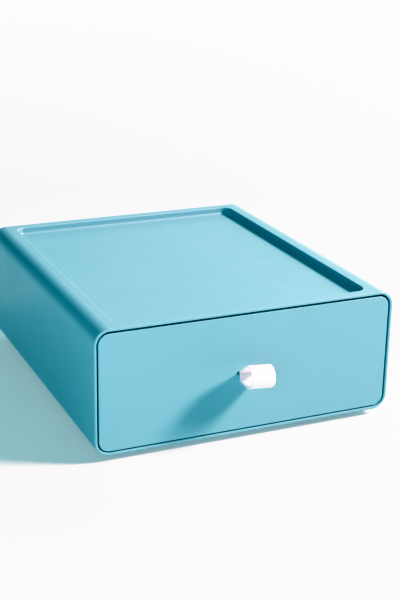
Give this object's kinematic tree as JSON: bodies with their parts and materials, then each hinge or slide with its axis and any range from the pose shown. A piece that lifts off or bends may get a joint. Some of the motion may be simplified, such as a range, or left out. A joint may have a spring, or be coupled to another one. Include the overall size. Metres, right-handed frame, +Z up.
{
  "type": "stackable drawer box",
  "caption": "Low stackable box with one full-width drawer, a white strap-loop pull and a shallow recess in the top that takes the ring under the next box.",
  "frame": {"origin": "centre of the bounding box's bottom face, on the surface the box stands on; the box runs from the tip of the pull to the back of the shell", "axes": "+Z up, +X to the right seen from the front, the drawer opens towards -Y"},
  "size_m": [0.225, 0.274, 0.0955],
  "materials": {
    "shell_plastic": "satin moulded plastic",
    "drawer_plastic": "satin moulded plastic",
    "pull_strap": "soft matt white strap",
    "foot_rubber": "matt anti-slip rubber",
    "screw_steel": "zinc plated",
    "clamp_plastic": "matt moulded plastic"
  },
  "bodies": {
    "shell": {"outer_shell": "shell_plastic", "rear_panel": "shell_plastic", "foot_front_left": "foot_rubber", "foot_front_right": "foot_rubber", "foot_rear_left": "foot_rubber", "foot_rear_right": "foot_rubber"},
    "drawer": {"drawer_tub": "drawer_plastic", "drawer_front": "drawer_plastic", "front_screws": "screw_steel", "pull_strap": "pull_strap", "pull_clamp_plate": "clamp_plastic", "clamp_screws": "screw_steel"}
  },
  "joints": [
    {"name": "drawer_slide", "type": "slide", "parent": "shell", "child": "drawer", "axis": [0, -1, 0], "range_m": [0, 0.175]}
  ]
}
